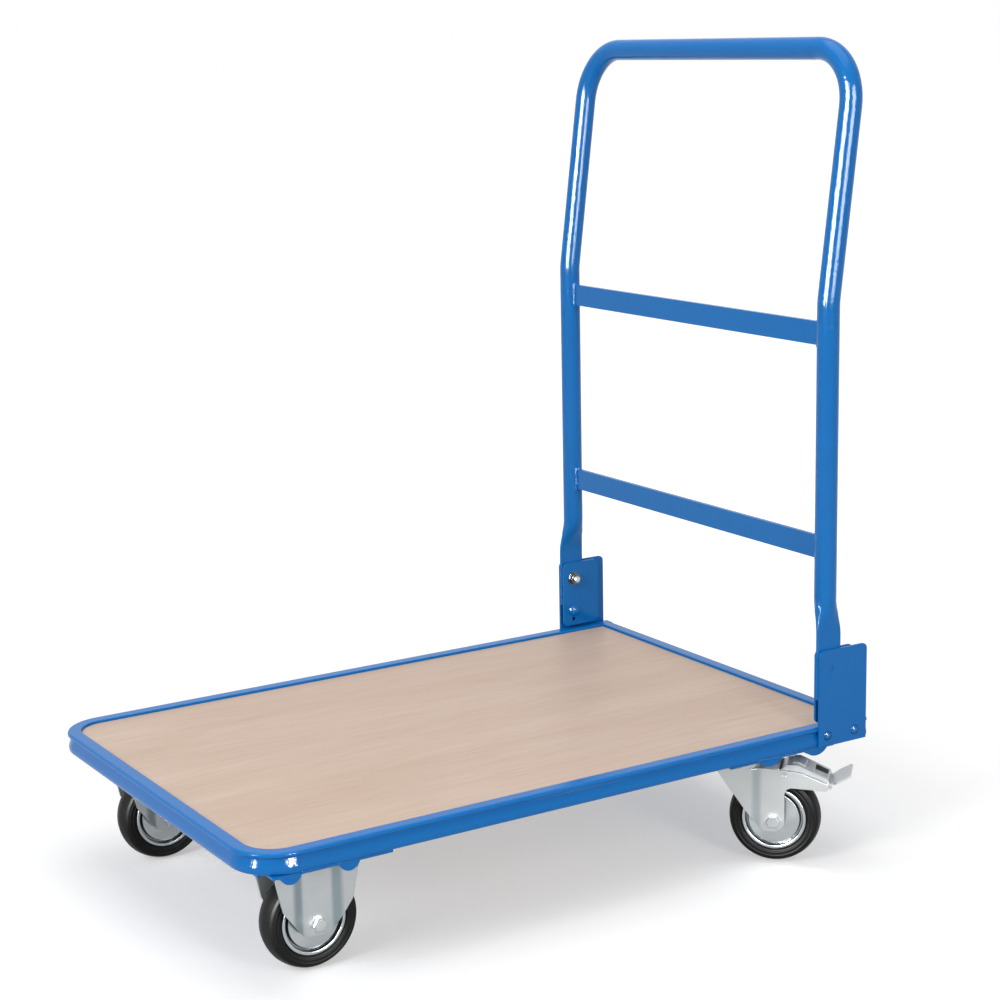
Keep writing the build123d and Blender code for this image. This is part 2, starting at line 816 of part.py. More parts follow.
tight_round = leg_step_round - fork_sheet
with BuildPart() as front_fork:
    with BuildSketch(Plane.XY.offset(wheel_radius - fork_foot)):
        inner = leg_gap
        proud = leg_gap + front_leg_step
        panel = front_panel_half
        wing = front_panel_half + front_step_run
        shift = bend_shift(front_leg_step, front_step_run)
        with BuildLine():
            FilletPolyline(
                (-front_fork_half, -proud),
                (shift - wing, -proud),
                (shift - panel, -inner),
                (panel - shift, -inner),
                (wing - shift, -proud),
                (front_fork_half, -proud),
                (front_fork_half, -proud - fork_sheet),
                (wing, -proud - fork_sheet),
                (panel, -inner - fork_sheet),
                (-panel, -inner - fork_sheet),
                (-wing, -proud - fork_sheet),
                (-front_fork_half, -proud - fork_sheet),
                radius=(
                    0,
                    tight_round,
                    leg_step_round,
                    leg_step_round,
                    tight_round,
                    0,
                    0,
                    leg_step_round,
                    tight_round,
                    tight_round,
                    leg_step_round,
                    0,
                ),
                close=True,
            )
        make_face()
        mirror(about=Plane.XZ)
    extrude(amount=plate_bottom - wheel_radius + fork_foot)
    with BuildSketch(Plane.XZ):
        with BuildLine():
            FilletPolyline(
                (-front_fork_half, plate_bottom),
                (-front_fork_half, plate_bottom - front_shoulder_drop),
                (-front_waist_half, plate_bottom - front_waist_drop),
                (-fork_foot - 2, wheel_radius - fork_foot),
                (fork_foot + 2, wheel_radius - fork_foot),
                (front_waist_half, plate_bottom - front_waist_drop),
                (front_fork_half, plate_bottom - front_shoulder_drop),
                (front_fork_half, plate_bottom),
                radius=(30, 12, 8, 8, 12, 30),
            )
            Line((front_fork_half, plate_bottom), (-front_fork_half, plate_bottom))
        make_face()
    extrude(amount=plate_width, both=True, mode=Mode.INTERSECT)
    with BuildSketch(Plane.XZ):
        with Locations((0, wheel_radius)):
            Circle(axle_radius + fixed_clearance)
    extrude(amount=plate_width, both=True, mode=Mode.SUBTRACT)
    with BuildSketch(Plane.XY.offset(plate_bottom)):
        top_plate_outline()
    extrude(amount=plate_sheet)
write_pair(Pos(front_axle_x, -front_axle_y, 0) * front_fork.part, "front_fork")

# Rear swivel casters, drawn round their swivel axis with the wheel trailing towards +X, then turned
# to the rest angle. First the fixed top plate with its upper race, and the king pin riveted into it.
race_bottom = plate_bottom - race_height - race_play
with BuildPart() as rear_top_plate:
    with BuildSketch(Plane.XY.offset(plate_bottom)):
        top_plate_outline()
    extrude(amount=plate_sheet)
    with BuildSketch(Plane.XY.offset(race_bottom)):
        Circle(race_radius)
    extrude(amount=plate_bottom - race_bottom)
    with BuildSketch(Plane.XY.offset(race_bottom)):
        Circle(king_pin_radius + fixed_clearance)
    extrude(amount=plate_top - race_bottom, mode=Mode.SUBTRACT)
write_pair(Pos(swivel_x, -swivel_y, 0) * rear_top_plate.part, "rear_top_plate")

with BuildPart() as king_pin:
    with BuildSketch(Plane.XY.offset(crown_bottom - lock_clearance)):
        RegularPolygon(king_nut_radius, 6)
    extrude(amount=-king_nut_height)
    with BuildSketch(Plane.XY.offset(crown_bottom - lock_clearance)):
        Circle(king_pin_radius)
    extrude(amount=plate_top - crown_bottom + lock_clearance)
both_sides(Pos(swivel_x, -swivel_y, 0) * king_pin.part, "king_pins")

# Swivelling fork: a crown over the wheel, two legs down to the axle and two arms back to the brake.
# The front part of each leg stands proud of the panel that holds the axle.
axle_u = swivel_trail
pin_u = pedal_pin_reach
pin_z = crown_bottom - pedal_pin_drop
step_u = rear_step_place
with BuildPart() as rear_fork:
    with BuildSketch(Plane.XY.offset(wheel_radius - fork_foot)):
        inner = leg_gap
        proud = leg_gap + rear_leg_step
        arm_end = 2 * pin_u
        step_end = step_u + rear_step_run
        shift = bend_shift(rear_leg_step, rear_step_run)
        with BuildLine():
            FilletPolyline(
                (crown_front - 2, -proud),
                (step_u - shift, -proud),
                (step_end - shift, -inner),
                (arm_end + 5, -inner),
                (arm_end + 5, -inner - fork_sheet),
                (step_end, -inner - fork_sheet),
                (step_u, -proud - fork_sheet),
                (crown_front - 2, -proud - fork_sheet),
                radius=(0, tight_round, leg_step_round, 0, 0, tight_round, leg_step_round, 0),
                close=True,
            )
        make_face()
        mirror(about=Plane.XZ)
    extrude(amount=crown_top - wheel_radius + fork_foot)
    with BuildSketch(Plane.XZ):
        with BuildLine():
            FilletPolyline(
                (crown_front, crown_top),
                (crown_front, crown_bottom - 2),
                (axle_u - 31, wheel_radius + 12.5),
                (axle_u - fork_foot, wheel_radius - fork_foot),
                (axle_u + fork_foot, wheel_radius - fork_foot),
                (axle_u + fork_foot, crown_bottom - 17.5),
                (axle_u + 58, crown_bottom - 19.5),
                (axle_u + 60.5, crown_top - 15.5),
                (axle_u + 28, crown_top - 3),
                (axle_u - 6, crown_top),
                radius=(6, 60, 11, 11.5, 8, 3.5, 3.5, 20),
            )
            Line((axle_u - 6, crown_top), (crown_front, crown_top))
        make_face()
    extrude(amount=plate_width, both=True, mode=Mode.INTERSECT)
    with BuildSketch(Plane.XY.offset(crown_bottom)) as crown_outline:
        with Locations((crown_front, 0)):
            Rectangle(step_u - crown_front, 2 * (proud + fork_sheet), align=(Align.MIN, Align.CENTER))
        with Locations((step_u, 0)):
            Rectangle(crown_rear - step_u, 2 * inner + fork_sheet, align=(Align.MIN, Align.CENTER))
    extrude(amount=crown_sheet)
    with BuildSketch(Plane.XY.offset(crown_top)):
        Circle(race_radius)
    extrude(amount=race_height)
    with BuildSketch(Plane.XY.offset(crown_bottom)):
        Circle(king_pin_radius + running_clearance)
    extrude(amount=crown_sheet + race_height, mode=Mode.SUBTRACT)
    with BuildSketch(Plane.XZ):
        with Locations((axle_u, wheel_radius)):
            Circle(axle_radius + fixed_clearance)
        with Locations((pin_u, pin_z)):
            Circle(pedal_pin_radius + fixed_clearance)
    extrude(amount=plate_width, both=True, mode=Mode.SUBTRACT)
write_pair(near_caster * rear_fork.part, "rear_fork")

# Ball ring between the two races: balls joined by a thin cage.
ball_z = (crown_top + race_height + race_bottom) / 2
with BuildPart() as race_ring:
    with BuildSketch(Plane.XY.offset(ball_z)):
        Circle(race_ball_circle + cage_half_width)
        Circle(race_ball_circle - cage_half_width, mode=Mode.SUBTRACT)
    extrude(amount=cage_half_height, both=True)
    with Locations((0, 0, ball_z)):
        with PolarLocations(race_ball_circle, race_ball_count):
            Sphere(race_ball_radius)
write_pair(near_caster * race_ring.part, "race_ring")

# Thin dust cover standing on the crown round the races.
with BuildPart() as dust_cover:
    with BuildSketch(Plane.XY.offset(crown_top)):
        Circle(race_radius + cover_gap + cover_sheet)
        Circle(race_radius + cover_gap, mode=Mode.SUBTRACT)
    extrude(amount=race_stack - race_height - cover_gap)
write_pair(near_caster * dust_cover.part, "dust_cover")

# Wheel and axle set of each swivel caster.
rear_wheel = near_caster * Pos(axle_u, 0, wheel_radius)
write_pair(rear_wheel * tyre.part, "rear_tyre")
write_pair(rear_wheel * rim_halves, "rear_rim")
write_pair(rear_wheel * hub, "rear_hub")
write_pair(rear_wheel * axle_bolt.part, "rear_axle_bolt")
write_pair(rear_wheel * axle_nut.part, "rear_axle_nut")
write_pair(rear_wheel * axle_sleeve, "rear_axle_sleeve")

# Pin across the fork's arms that the brake pedal turns on, ground flush with them.
pin_half = leg_face
write_pair(near_caster * ring(pin_u, pin_z, 0, pedal_pin_radius, -pin_half, pin_half), "pedal_pin")

# Brake pedal: a pressed channel with a slot in its sloping top, a turned-down end and a tab to lift
# it by. Its outline is drawn from the pin.
pedal_half = pedal_width / 2
pedal_plane = Plane(origin=(pin_u, 0, pin_z), x_dir=(1, 0, 0), z_dir=(0, -1, 0))
pedal_top = ((-4, 4), (2.5, 9.5), (14.5, 9.8), (47, -4.5))
pedal_under = ((45.5, -6.1), (14.1, 7.8), (3.2, 7.5), (-2.7, 2.5))
pedal_slope = Vector(*pedal_top[3]) - Vector(*pedal_top[2])
pedal_pad = (
    (7, 9),
    (8.5, 9.6 + pedal_pad_rise),
    (14.9, 9.8 + pedal_pad_rise),
    (22, 6.5 + pedal_pad_rise),
    (22.5, 5.8),
    (14, 9),
)
tab_half = pedal_tab_width / 2
tab_rise = radians(pedal_tab_slope)
tab_plane = pedal_plane * Plane(
    origin=(48.6, -11), x_dir=(cos(tab_rise), sin(tab_rise)), z_dir=(-sin(tab_rise), cos(tab_rise))
)
with BuildPart() as brake_pedal:
    with BuildSketch(pedal_plane):
        with BuildLine():
            Polyline(*pedal_top, (50.5, -15), (48.5, -15.3), *pedal_under, close=True)
        make_face()
    extrude(amount=pedal_half, both=True)
    for sign in (1, -1):
        with BuildSketch(pedal_plane.offset(sign * pedal_half)):
            with BuildLine():
                Polyline(
                    *pedal_top, (49.5, -12), (15.5, 1.3), (6.5, 3.5), (4.5, -3.2), (-4, -3.2), close=True
                )
            make_face()
            Circle(pedal_pin_radius + running_clearance, mode=Mode.SUBTRACT)
        extrude(amount=-sign * pedal_sheet)
    with BuildSketch(tab_plane):
        with BuildLine():
            FilletPolyline(
                (0, -pedal_half),
                (pedal_tab_neck, -pedal_half),
                (pedal_tab_neck + pedal_tab_flare, -tab_half),
                (pedal_tab_length, -tab_half),
                (pedal_tab_length, tab_half),
                (pedal_tab_neck + pedal_tab_flare, tab_half),
                (pedal_tab_neck, pedal_half),
                (0, pedal_half),
                radius=(2, 4, pedal_tab_round, pedal_tab_round, 4, 2),
            )
            Line((0, pedal_half), (0, -pedal_half))
        make_face()
    extrude(amount=pedal_sheet / 2, both=True)
    # Pad pressed up across the bend of the top.
    with BuildSketch(pedal_plane):
        with BuildLine():
            Polyline(*pedal_pad, close=True)
        make_face()
    extrude(amount=pedal_pad_width / 2, both=True)
    with BuildSketch(pedal_plane * Plane(origin=pedal_top[3], x_dir=pedal_slope, z_dir=(0, 0, 1))):
        with Locations((-pedal_slot_inset, 0)):
            Rectangle(pedal_slot_length, 4 * pedal_sheet)
    extrude(amount=pedal_slot_width / 2, both=True, mode=Mode.SUBTRACT)
write_pair(near_caster * brake_pedal.part, "brake_pedal")

# Rubber brake shoe under the pedal, which comes down on the tread. Its top follows the sheet above it.
shoe_knee = pedal_under[1]


def under_sheet(place, end):
    return shoe_knee[1] + (end[1] - shoe_knee[1]) * (place - shoe_knee[0]) / (end[0] - shoe_knee[0])


with BuildPart() as brake_shoe:
    with BuildSketch(pedal_plane):
        with BuildLine():
            Polyline(
                (shoe_front, -shoe_drop),
                (shoe_rear, -shoe_drop),
                (shoe_rear, under_sheet(shoe_rear, pedal_under[0]) - fixed_clearance),
                (shoe_knee[0], shoe_knee[1] - fixed_clearance),
                (shoe_front, under_sheet(shoe_front, pedal_under[2]) - fixed_clearance),
                close=True,
            )
        make_face()
    extrude(amount=shoe_width / 2, both=True)
write_pair(near_caster * brake_shoe.part, "brake_shoe")

# Bolts and thin nuts that hold all the casters to the bearers.
caster_places = ((front_axle_x, -front_axle_y), (swivel_x, -swivel_y))
caster_bolt_end = frame_bottom + caster_nut_height + bolt_hole_gap
with BuildPart() as caster_bolts:
    with BuildSketch(Plane.XY.offset(plate_bottom)):
        for place in caster_places:
            with Locations(place):
                with GridLocations(plate_hole_x, plate_hole_y, 2, 2):
                    RegularPolygon(head_flat, 6, major_radius=False)
    extrude(amount=-bolt_head_height)
    with BuildSketch(Plane.XY.offset(plate_bottom)):
        for place in caster_places:
            with Locations(place):
                with GridLocations(plate_hole_x, plate_hole_y, 2, 2):
                    Circle(bolt_radius)
    extrude(amount=caster_bolt_end - plate_bottom)
    mirror(about=Plane.XZ)
write(caster_bolts.part, "caster_bolts")

with BuildPart() as caster_nuts:
    with BuildSketch(Plane.XY.offset(frame_bottom)):
        for place in caster_places:
            with Locations(place):
                with GridLocations(plate_hole_x, plate_hole_y, 2, 2):
                    RegularPolygon(head_flat, 6, major_radius=False)
                    Circle(bolt_radius + fixed_clearance, mode=Mode.SUBTRACT)
    extrude(amount=caster_nut_height)
    mirror(about=Plane.XZ)
write(caster_nuts.part, "caster_nuts")
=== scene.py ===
import bpy
import math
from mathutils import Matrix, Vector


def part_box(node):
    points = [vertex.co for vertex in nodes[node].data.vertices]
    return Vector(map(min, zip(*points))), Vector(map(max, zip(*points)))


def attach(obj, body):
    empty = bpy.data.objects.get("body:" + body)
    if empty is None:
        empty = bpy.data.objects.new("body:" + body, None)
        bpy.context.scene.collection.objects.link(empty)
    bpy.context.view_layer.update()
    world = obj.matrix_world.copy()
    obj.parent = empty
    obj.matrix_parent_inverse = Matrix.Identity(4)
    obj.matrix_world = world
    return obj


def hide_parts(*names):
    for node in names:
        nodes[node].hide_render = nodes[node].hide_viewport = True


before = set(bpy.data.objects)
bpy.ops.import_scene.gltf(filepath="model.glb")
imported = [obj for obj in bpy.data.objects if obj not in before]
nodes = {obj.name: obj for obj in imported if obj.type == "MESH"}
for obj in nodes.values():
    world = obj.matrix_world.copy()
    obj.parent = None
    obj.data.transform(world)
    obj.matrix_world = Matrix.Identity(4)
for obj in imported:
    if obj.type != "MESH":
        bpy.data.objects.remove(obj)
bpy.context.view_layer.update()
scene = bpy.context.scene

# PLATFORM FRAME
# Rolled rail bent round three sides, a rear rail, two pressed cross bearers and the hinge plates, all
# of mild steel. The frame is powder coated in gloss blue, which flows out to a fine orange peel.
BLUE = (0.002, 0.147, 0.468, 1.0)
# A paler blue: thinner coat in random clouds, and along the edges thinner coat plus a painted highlight.
BLUE_THIN_AND_HIGHLIT = (0.007, 0.185, 0.520, 1.0)
PEEL_SCALE = 430.0
COAT_GLOSS = (0.07, 0.12)
COAT_SPECULAR = 0.17
COAT_EDGE = 0.0009
EDGE_BEGINS, EDGE_FULL = 0.985, 0.635


def put(tree, kind, inputs=None, **settings):
    made = tree.nodes.new(kind)
    for name, value in settings.items():
        setattr(made, name, value)
    sockets = {s.identifier: s for s in made.inputs}
    for name, value in (inputs or {}).items():
        if isinstance(value, bpy.types.NodeSocket):
            tree.links.new(value, sockets[name])
        else:
            sockets[name].default_value = value
    return made


def new_finish(name):
    material = bpy.data.materials.new(name)
    material.use_nodes = True
    tree = material.node_tree
    place = put(tree, "ShaderNodeTexCoord").outputs["Object"]
    return material, tree, tree.nodes["Principled BSDF"], place


def feed(tree, shader, **sockets):
    for name, value in sockets.items():
        socket = shader.inputs[name.replace("_", " ")]
        if isinstance(value, bpy.types.NodeSocket):
            tree.links.new(value, socket)
        else:
            socket.default_value = value


def noise(tree, place, scale, detail=2.0, roughness=0.5, stretch=None):
    if stretch:
        place = put(tree, "ShaderNodeMapping", {"Vector": place, "Scale": stretch}).outputs[0]
    inputs = {"Vector": place, "Scale": scale, "Detail": detail, "Roughness": roughness}
    return put(tree, "ShaderNodeTexNoise", inputs).outputs[0]


def span(tree, value, low, high, out_low=0.0, out_high=1.0):
    inputs = {"Value": value, "From Min": low, "From Max": high, "To Min": out_low, "To Max": out_high}
    return put(tree, "ShaderNodeMapRange", inputs).outputs[0]


def mix_colour(tree, share, first, second):
    inputs = {"Factor_Float": share, "A_Color": first, "B_Color": second}
    return put(tree, "ShaderNodeMix", inputs, data_type="RGBA").outputs[2]


def sums(tree, operation, first, second=0.0):
    inputs = {"Value": first, "Value_001": second}
    return put(tree, "ShaderNodeMath", inputs, operation=operation).outputs[0]


def dot(tree, first, second):
    inputs = {"Vector": first, "Vector_001": second}
    return put(tree, "ShaderNodeVectorMath", inputs, operation="DOT_PRODUCT").outputs["Value"]


def rough_skin(tree, height, strength, depth, normal=None):
    inputs = {"Strength": strength, "Distance": depth, "Height": height}
    if normal is not None:
        inputs["Normal"] = normal
    return put(tree, "ShaderNodeBump", inputs).outputs[0]


def rounded_edges(tree, radius):
    """A normal that rolls over sharp sheet edges, and a mask that is 1 along them."""
    rolled = put(tree, "ShaderNodeBevel", {"Radius": radius}, samples=6).outputs[0]
    flat = put(tree, "ShaderNodeNewGeometry").outputs["Normal"]
    return rolled, span(tree, dot(tree, rolled, flat), EDGE_BEGINS, EDGE_FULL)


def paint_finish(name):
    material, tree, shader, place = new_finish(name)
    peel = noise(tree, place, PEEL_SCALE, detail=1.0, roughness=0.4)
    flow = noise(tree, place, scale=9.0, detail=3.0, roughness=0.55)
    rolled, edge = rounded_edges(tree, COAT_EDGE)
    # Edges are paler: a thinner coat there, and a painted highlight.
    thin_and_highlit = sums(tree, "MULTIPLY", edge, 0.5)
    cloud = span(tree, flow, 0.3, 0.7, 0.0, 0.18)
    colour = mix_colour(tree, sums(tree, "MAXIMUM", thin_and_highlit, cloud), BLUE, BLUE_THIN_AND_HIGHLIT)
    gloss = span(tree, flow, 0.25, 0.75, *COAT_GLOSS)
    skin = rough_skin(tree, peel, strength=0.28, depth=0.0005, normal=rolled)
    feed(tree, shader, Base_Color=colour, Roughness=gloss, Normal=skin, Specular_IOR_Level=COAT_SPECULAR)
    return material


def dress(material, *names):
    for name in names:
        for slot in nodes[name].material_slots:
            slot.material = material


frame_paint = paint_finish("frame_powder_coat")
dress(frame_paint, "deck_frame", "rear_rail", "rail_end_caps", "front_bearer", "rear_bearer",
      "outer_plate_near", "outer_plate_far", "inner_plate_near", "inner_plate_far", "plate_rivets")

# FRAME WELDS
# Fillet welds laid by hand where the rear rail meets the side rails and where the bearers lie under
# them. Each bead is a row of overlapping ripples, coated together with the frame.
FRAME_BEAD = 0.0017
RIPPLE_PITCH = 0.0016
RIPPLE_SMALL, RIPPLE_LARGE = (0.86, 0.86, 0.55), (1.12, 1.12, 0.72)
SEAM_SUNK = 0.0006
SEAM_LIFT = 0.0004
SEAM_OUT = 0.0002
REAR_SEAM_FOOT, REAR_SEAM_HEAD = 0.002, 0.004
BEARER_SEAMS = {"front_bearer": (0.030, 0.070), "rear_bearer": (0.035, 0.080)}


def new_node_group(name, **sizes):
    """A node group with one mesh in and out, and a named input for each size given as (kind, value)."""
    tree = bpy.data.node_groups.new(name, "GeometryNodeTree")
    tree.interface.new_socket(name="Geometry", in_out="INPUT", socket_type="NodeSocketGeometry")
    tree.interface.new_socket(name="Geometry", in_out="OUTPUT", socket_type="NodeSocketGeometry")
    for size, (kind, value) in sizes.items():
        socket = tree.interface.new_socket(
            name=size.replace("_", " "), in_out="INPUT", socket_type="NodeSocket" + kind)
        if value is not None:
            socket.default_value = value
    return tree, tree.nodes.new("NodeGroupInput"), tree.nodes.new("NodeGroupOutput")


def close_node_group(tree, group_in, group_out, made):
    solid = put(tree, "GeometryNodeRealizeInstances", {"Geometry": made}).outputs[0]
    smooth = put(tree, "GeometryNodeSetShadeSmooth", {"Geometry": solid}).outputs[0]
    inputs = {"Geometry": smooth, "Material": group_in.outputs["Finish"]}
    coated = put(tree, "GeometryNodeSetMaterial", inputs).outputs[0]
    tree.links.new(coated, group_out.inputs[0])


def grow(name, tree, base, sizes, body):
    """Runs a node group on a base mesh, keeps the result as a plain mesh and rides it on its body."""
    carrier = bpy.data.objects.new(name + "_base", base)
    scene.collection.objects.link(carrier)
    modifier = carrier.modifiers.new("grow", "NODES")
    modifier.node_group = tree
    for item in tree.interface.items_tree:
        if item.in_out == "INPUT" and item.name in sizes:
            modifier[item.identifier] = sizes[item.name]
    ready = carrier.evaluated_get(bpy.context.evaluated_depsgraph_get())
    mesh = bpy.data.meshes.new_from_object(ready)
    mesh.name = name
    bpy.data.objects.remove(carrier)
    piece = bpy.data.objects.new(name, mesh)
    scene.collection.objects.link(piece)
    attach(piece, body)
    return piece


def seam_mesh(name, seams):
    points, edges = [], []
    for seam, closed in seams:
        first = len(points)
        points += seam
        edges += [(first + i, first + i + 1) for i in range(len(seam) - 1)]
        if closed:
            edges.append((len(points) - 1, first))
    mesh = bpy.data.meshes.new(name)
    mesh.from_pydata(points, edges, [])
    return mesh


weld_group, group_in, group_out = new_node_group(
    "weld_bead", Ripple_Pitch=("Float", RIPPLE_PITCH), Bead=("Float", FRAME_BEAD), Seed=("Int", 3),
    Finish=("Material", None))
seam_line = put(weld_group, "GeometryNodeMeshToCurve", {"Mesh": group_in.outputs["Geometry"]}).outputs[0]
steps = put(weld_group, "GeometryNodeResampleCurve", {
    "Curve": seam_line, "Length": group_in.outputs["Ripple Pitch"],
}, mode="LENGTH").outputs[0]
ripple = put(weld_group, "GeometryNodeMeshUVSphere", {
    "Segments": 8, "Rings": 6, "Radius": group_in.outputs["Bead"],
}).outputs[0]
along = put(weld_group, "GeometryNodeInputTangent").outputs[0]
facing = put(weld_group, "FunctionNodeAlignRotationToVector", {"Vector": along}, axis="Z").outputs[0]
uneven = put(weld_group, "FunctionNodeRandomValue", {
    "Min": RIPPLE_SMALL, "Max": RIPPLE_LARGE, "Seed": group_in.outputs["Seed"],
}, data_type="FLOAT_VECTOR").outputs[0]
beads = put(weld_group, "GeometryNodeInstanceOnPoints", {
    "Points": steps, "Instance": ripple, "Rotation": facing, "Scale": uneven,
}).outputs[0]
close_node_group(weld_group, group_in, group_out, beads)

rail_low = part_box("deck_frame")[0].z
rail_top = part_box("deck_frame")[1].z
rear_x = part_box("rear_rail")[1].x - SEAM_SUNK
rear_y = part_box("rear_rail")[1].y
under_z = rail_low - SEAM_LIFT
frame_seams = []
for s in (-1, 1):
    frame_seams.append(([(rear_x, s * rear_y, rail_low + REAR_SEAM_FOOT),
                         (rear_x, s * rear_y, rail_top - REAR_SEAM_HEAD)], False))
    for name, (start, stop) in BEARER_SEAMS.items():
        low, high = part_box(name)
        edge_y = s * (high.y + SEAM_OUT)
        frame_seams.append(([(low.x + start, edge_y, under_z), (low.x + stop, edge_y, under_z)], False))
frame_welds = grow("frame_welds", weld_group, seam_mesh("frame_seams", frame_seams),
                   {"Bead": FRAME_BEAD, "Finish": frame_paint}, "platform")

# BOARD
# Chipboard panel, 12 mm thick, faced on both sides with beech-effect foil whose grain runs along the
# platform. It lies on the ledges inside the rails and is screwed to the bearers from below.
BEECH = (0.530, 0.395, 0.312, 1.0)
BEECH_PALE = (0.595, 0.468, 0.382, 1.0)
BEECH_DARK = (0.440, 0.285, 0.200, 1.0)
FIGURE_STRETCH = (2.2, 16.0, 1.0)
GRAIN_STRETCH = (14.0, 520.0, 1.0)
PORE_STRETCH = (130.0, 900.0, 1.0)

beech_foil, tree, shader, place = new_finish("beech_foil")
figure = put(tree, "ShaderNodeTexNoise", {
    "Vector": put(tree, "ShaderNodeMapping", {"Vector": place, "Scale": FIGURE_STRETCH}).outputs[0],
    "Scale": 1.0, "Detail": 4.0, "Roughness": 0.55, "Distortion": 0.6,
}).outputs[0]
grain = noise(tree, place, scale=1.0, detail=3.0, roughness=0.6, stretch=GRAIN_STRETCH)
pore_place = put(tree, "ShaderNodeMapping", {"Vector": place, "Scale": PORE_STRETCH}).outputs[0]
fleck = put(tree, "ShaderNodeTexVoronoi", {"Vector": pore_place, "Scale": 1.0, "Randomness": 1.0})
pores = span(tree, fleck.outputs["Distance"], 0.30, 0.12, 0.0, 0.34)
ground = mix_colour(tree, span(tree, figure, 0.32, 0.70), BEECH, BEECH_PALE)
streaked = mix_colour(tree, span(tree, grain, 0.42, 0.72, 0.0, 0.36), ground, BEECH_DARK)
feed(tree, shader, Base_Color=mix_colour(tree, pores, streaked, BEECH_DARK),
     Roughness=span(tree, grain, 0.3, 0.7, 0.40, 0.54),
     Normal=rough_skin(tree, grain, strength=0.10, depth=0.0002), Specular_IOR_Level=0.35)
dress(beech_foil, "deck_board")

# CASTER BRACKETS
# Forks, top plates, dust covers and brake pedals, pressed from steel sheet and bright zinc plated. The
# front forks are bolted up rigid; the rear ones turn on a king pin under their own top plate.
ZINC = (0.480, 0.502, 0.504, 1.0)
ZINC_DULL = (0.405, 0.432, 0.438, 1.0)
# A lighter copy of the zinc, painted light, for the rear forks and pedals.
ZINC_LIT = (0.600, 0.618, 0.618, 1.0)
# Paler zinc for the edges: rubbed wear and a painted highlight.
ZINC_RUBBED_AND_HIGHLIT = (0.640, 0.655, 0.655, 1.0)
# Painted dark reflection on the slopes of the fork legs' pressed steps.
ZINC_STEP_SHADE = (0.150, 0.215, 0.240, 1.0)
# Near-black zinc: painted shade inside the pedal channels and under the pedals, and the pivot nuts' colour.
ZINC_NEAR_BLACK = (0.050, 0.058, 0.062, 1.0)
ROLLED_GRAIN = (1.0, 1.0, 0.15)
FORK_EDGE, PLATE_EDGE, SMALL_EDGE = 0.0010, 0.0008, 0.0004
FORK_GLOSS, PEDAL_GLOSS = (0.18, 0.25), (0.28, 0.31)
FORK_METAL, PEDAL_METAL = 0.45, 0.4
SIDES = {"near": -1, "far": 1}
DIAGONAL = math.sqrt(0.5)
DOWN = (0.0, 0.0, -1.0)


def zinc_finish(name, edge_radius, gloss, metal=0.9, dull=ZINC_DULL, bright=ZINC, tone=None):
    material, tree, shader, place = new_finish(name)
    film = noise(tree, place, scale=16.0, detail=3.0, roughness=0.5)
    rolled_lines = noise(tree, place, scale=300.0, detail=2.0, roughness=0.5, stretch=ROLLED_GRAIN)
    rolled, edge = rounded_edges(tree, edge_radius)
    body = mix_colour(tree, span(tree, film, 0.32, 0.68), dull, bright)
    if tone:
        body = tone(tree, place, body)
    # Edges are mixed towards paler zinc: rubbed wear and a painted highlight.
    colour = mix_colour(tree, sums(tree, "MULTIPLY", edge, 0.35), body, ZINC_RUBBED_AND_HIGHLIT)
    haze = span(tree, rolled_lines, 0.3, 0.7, *gloss)
    skin = rough_skin(tree, rolled_lines, strength=0.08, depth=0.0001, normal=rolled)
    feed(tree, shader, Base_Color=colour, Metallic=metal, Roughness=haze, Normal=skin)
    return material


def step_shade_tone(along, share):
    """Painted shade: faces that lean a little along the given direction, the slopes of a leg's upright
    pressed steps, are darkened as a painted dark reflection.
    """
    def tone(tree, place, body):
        facing = put(tree, "ShaderNodeTexCoord").outputs["Normal"]
        lean = sums(tree, "ABSOLUTE", dot(tree, facing, along))
        step_shade = sums(tree, "MULTIPLY", span(tree, lean, 0.03, 0.33), span(tree, lean, 0.50, 0.40))
        return mix_colour(tree, sums(tree, "MULTIPLY", step_shade, share), body, ZINC_STEP_SHADE)
    return tone


def channel_shade_tone(centre, across):
    """Painted shade: the plating is darkened on faces turned inwards inside the pressed channel and on faces
    turned downwards.
    """
    def tone(tree, place, body):
        facing = put(tree, "ShaderNodeTexCoord").outputs["Normal"]
        offset = {"Vector": place, "Vector_001": centre}
        from_middle = put(tree, "ShaderNodeVectorMath", offset, operation="SUBTRACT").outputs[0]
        inward = sums(tree, "MULTIPLY", dot(tree, from_middle, across), dot(tree, facing, across))
        under = span(tree, dot(tree, facing, DOWN), 0.2, 0.5)
        channel_shade = sums(tree, "MAXIMUM", span(tree, inward, -0.0015, -0.005), under)
        return mix_colour(tree, channel_shade, body, ZINC_NEAR_BLACK)
    return tone


